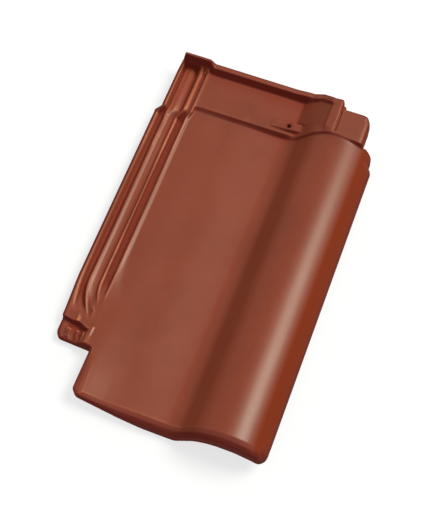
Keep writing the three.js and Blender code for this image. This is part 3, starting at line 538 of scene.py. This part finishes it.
def speckle_group():
    """Specks of grog and iron scattered through the clay, as a mask."""
    group = node_group(
        "clay_specks",
        [("Place", "NodeSocketVector", (0, 0, 0)), ("Size", "NodeSocketFloat", 400.0),
         ("Amount", "NodeSocketFloat", 0.2)],
        [("Mask", "NodeSocketFloat")],
    )
    bench = Bench(group)
    given, result = bench.add("NodeGroupInput"), bench.add("NodeGroupOutput")
    sockets = {"Vector": given.outputs["Place"], "Scale": given.outputs["Size"]}
    cells = bench.add("ShaderNodeTexVoronoi", sockets)
    chosen = bench.add("ShaderNodeTexWhiteNoise", {"Vector": cells.outputs["Position"]}).outputs["Value"]
    kept = bench.math("LESS_THAN", chosen, given.outputs["Amount"])
    dot = bench.spread(cells.outputs["Distance"], *SPECK_DOT, 1.0, 0.0)
    group.links.new(bench.math("MULTIPLY", kept, dot), result.inputs["Mask"])
    return group


def grain_group():
    """Height of the fine pressed grain and of the slow unevenness under the engobe."""
    group = node_group(
        "pressed_grain",
        [("Place", "NodeSocketVector", (0, 0, 0)), ("Fine", "NodeSocketFloat", 1.0),
         ("Slow", "NodeSocketFloat", 1.0)],
        [("Height", "NodeSocketFloat"), ("Mottle", "NodeSocketFloat")],
    )
    bench = Bench(group)
    given, result = bench.add("NodeGroupInput"), bench.add("NodeGroupOutput")
    fine = bench.noise(given.outputs["Place"], *FINE_GRAIN)
    slow = bench.noise(given.outputs["Place"], *SLOW_SWELL)
    mottle = bench.noise(given.outputs["Place"], *MOTTLE)
    height = bench.math("ADD", bench.math("MULTIPLY", fine, given.outputs["Fine"]),
                        bench.math("MULTIPLY", slow, given.outputs["Slow"]))
    group.links.new(height, result.inputs["Height"])
    group.links.new(mottle, result.inputs["Mottle"])
    return group


def glazed_clay(specks, grain):
    """Red-brown satin engobe over orange fired clay, with light and shade painted in: lighter edges from a
    thinner coat and a painted highlight, redder channels from pooling and painted shade, painted shade in
    creases, on foot-facing faces, the rim and the roll's right flank, and a painted sheen at the pan's foot
    corner.
    """
    material = bpy.data.materials.new("glazed_clay")
    material.use_nodes = True
    tree = material.node_tree
    bench = Bench(tree)
    surface = tree.nodes["Principled BSDF"]
    place = bench.add("ShaderNodeTexCoord").outputs["Object"]
    heights = {"Place": place, "Fine": FINE_HEIGHT, "Slow": SLOW_HEIGHT}
    texture = bench.add("ShaderNodeGroup", heights, node_tree=grain)
    scatter = {"Place": place, "Size": SPECK_SCALE, "Amount": SPECK_AMOUNT}
    speck = bench.add("ShaderNodeGroup", scatter, node_tree=specks)
    mottle = bench.spread(texture.outputs["Mottle"], *MOTTLE_RANGE)
    # hidden channels: partly engobe pooling, partly painted shade and red bounce light
    pooled_and_shade = bench.math("MULTIPLY", bench.spread(bench.attribute("sunk"), *SUNK_RANGE), POOLED_AND_SHADE_SHARE)
    # creases get painted shade, the head lap its thicker coat
    crease_shade_and_lap = bench.math("MULTIPLY", bench.attribute("hollow"), CREASE_SHADE_SHARE)
    # painted shade on the roll's right flank
    flank_shade = bench.spread(bench.attribute("outer_side"), *FLANK_SHADE_RANGE)
    side = bench.math("MAXIMUM", bench.spread(bench.attribute("steep"), *STEEP_RANGE), bench.attribute("rim"))
    side = bench.math("MAXIMUM", side, bench.spread(bench.attribute("outer_side"), *OUTER_DULL_RANGE))
    front = bench.spread(bench.attribute("front"), *FRONT_RANGE)
    # painted shade: faces towards the foot and the outline rim turn dark red
    dark = bench.math("MULTIPLY", bench.math("MAXIMUM", front, bench.attribute("rim")), PAINTED_SHADE_SHARE)
    # edges lighter: partly a thinner coat, partly a painted highlight
    thin_and_highlight = bench.math("MULTIPLY", bench.attribute("convex"), bench.spread(mottle, 0.0, 1.0, *THIN_AND_HIGHLIGHT_SHARE))
    thin_and_highlight = bench.math("MULTIPLY", thin_and_highlight, bench.spread(dark, 0.0, DARK_ENOUGH, 1.0, 0.0))
    thin_and_highlight = bench.math("MULTIPLY", thin_and_highlight, bench.math("SUBTRACT", 1.0, bench.attribute("strip")))
    # painted sheen at the pan's foot corner
    corner_sheen = bench.math("MULTIPLY", bench.attribute("painted_sheen"), bench.spread(mottle, 0.0, 1.0, *CORNER_SHEEN_SHARE))

    engobe = bench.blend(mottle, ENGOBE_DEEP, ENGOBE_LIGHT)
    layers = [
        (corner_sheen, PAINTED_CORNER_SHEEN), (bench.attribute("strip"), ENGOBE_STRIP), (flank_shade, PAINTED_FLANK_SHADE),
        (dark, PAINTED_SHADE_DARK), (pooled_and_shade, POOLED_COAT_AND_SHADE), (crease_shade_and_lap, CREASE_SHADE_AND_LAP), (thin_and_highlight, THIN_COAT_AND_HIGHLIGHT),
        (bench.math("MULTIPLY", speck.outputs["Mask"], SPECK_SHARE), IRON_SPECK),
    ]
    for share, colour in layers:
        engobe = bench.blend(share, engobe, colour)

    bare = bench.blend(mottle, CLAY_DEEP, CLAY_LIGHT)
    bare = bench.blend(bench.math("MULTIPLY", speck.outputs["Mask"], GROG_SHARE), bare, GROG_SPECK)
    stray = bench.math("MULTIPLY", bench.math("SUBTRACT", texture.outputs["Mottle"], 0.5), COAT_STRAY)
    coat = bench.spread(bench.math("ADD", bench.attribute("coated"), stray), *COAT_RANGE)
    tree.links.new(bench.blend(coat, bare, engobe), surface.inputs["Base Color"])

    satin = bench.spread(texture.outputs["Mottle"], *SATIN_RANGE, *SATIN_ROUGHNESS)
    dull = bench.math("ADD", satin, bench.math("MULTIPLY", pooled_and_shade, POOLED_ROUGHER))
    dull = bench.between(side, dull, DULL_ROUGHNESS)
    dull = bench.math("ADD", dull, bench.math("MULTIPLY", speck.outputs["Mask"], SPECK_ROUGHER))
    tree.links.new(bench.between(coat, BARE_ROUGHNESS, dull), surface.inputs["Roughness"])
    relief = {"Height": texture.outputs["Height"], "Strength": RELIEF_STRENGTH, "Distance": RELIEF_DEPTH}
    tree.links.new(bench.add("ShaderNodeBump", relief).outputs["Normal"], surface.inputs["Normal"])
    surface.inputs["IOR"].default_value = ENGOBE_IOR
    surface.inputs["Specular IOR Level"].default_value = ENGOBE_SPECULAR
    return material


# ---------------------------------------------------------------- studio

def studio_floor():
    """A plain pale floor that stays white to the camera and keeps the tile's soft shadow."""
    bpy.ops.object.select_all(action="DESELECT")
    bpy.ops.mesh.primitive_plane_add(size=FLOOR_SIZE, location=(0, 0, 0))
    floor = bpy.context.active_object
    floor.name = "studio_floor"
    material = bpy.data.materials.new("pale_floor")
    material.use_nodes = True
    tree = material.node_tree
    bench = Bench(tree)
    tree.nodes.remove(tree.nodes["Principled BSDF"])
    paper = bench.add("ShaderNodeBsdfDiffuse", {"Color": FLOOR_PAPER})
    strength = bench.math("MULTIPLY", bench.seen_directly(), FLOOR_GLOW)
    glow = bench.add("ShaderNodeEmission", {"Color": WHITE, "Strength": strength})
    both = bench.add("ShaderNodeAddShader", {0: paper.outputs[0], 1: glow.outputs[0]})
    tree.links.new(both.outputs[0], tree.nodes["Material Output"].inputs["Surface"])
    floor.data.materials.append(material)


def softbox(name, direction, size, power, colour):
    """A round soft lamp that shines on the middle of the tile."""
    lamp = bpy.data.lights.new(name, "AREA")
    lamp.shape, lamp.size, lamp.energy, lamp.color = "DISK", size, power, colour
    box = bpy.data.objects.new(name, lamp)
    box.location = CAMERA_TARGET + direction.normalized() * LAMP_DISTANCE
    box.rotation_mode = "QUATERNION"
    box.rotation_quaternion = (-direction).to_track_quat("-Z", "Y")
    bpy.context.scene.collection.objects.link(box)
    return box


def studio_light():
    """A soft key lamp from behind on the right, a panel that only gloss shows, and an even fill all round."""
    softbox("key_softbox", KEY_DIRECTION, KEY_SIZE, KEY_POWER, KEY_COLOUR)
    sheen = softbox("sheen_panel", SHEEN_DIRECTION, SHEEN_SIZE, SHEEN_POWER, SHEEN_COLOUR)
    sheen.visible_diffuse = False

    world = bpy.data.worlds.new("studio")
    bpy.context.scene.world = world
    world.use_nodes = True
    tree = world.node_tree
    bench = Bench(tree)
    fill = bench.add("ShaderNodeBackground", {"Color": WHITE, "Strength": FILL_LEVEL})
    white = bench.add("ShaderNodeBackground", {"Color": WHITE, "Strength": 1.0})
    sockets = {0: bench.seen_directly(), 1: fill.outputs[0], 2: white.outputs[0]}
    mixed = bench.add("ShaderNodeMixShader", sockets)
    tree.links.new(mixed.outputs[0], tree.nodes["World Output"].inputs["Surface"])


def place_camera():
    """The camera looks down on the tile from the foot's side."""
    lens = bpy.data.cameras.new("camera")
    lens.lens, lens.sensor_width = LENS, SENSOR
    lens.clip_start, lens.clip_end = NEAREST, FARTHEST
    camera = bpy.data.objects.new("camera", lens)
    camera.location = CAMERA_PLACE
    camera.rotation_mode = "QUATERNION"
    camera.rotation_quaternion = (CAMERA_TARGET - CAMERA_PLACE).to_track_quat("-Z", "Y")
    bpy.context.scene.collection.objects.link(camera)
    bpy.context.scene.camera = camera


place_camera()
studio_light()
studio_floor()

tile = press_tile(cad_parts["roof_tile"])
mark_skin(tile)
tile.data.materials.clear()
tile.data.materials.append(glazed_clay(speckle_group(), grain_group()))
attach(tile, "root")
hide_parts("roof_tile")

bpy.context.scene.view_settings.view_transform = "Standard"
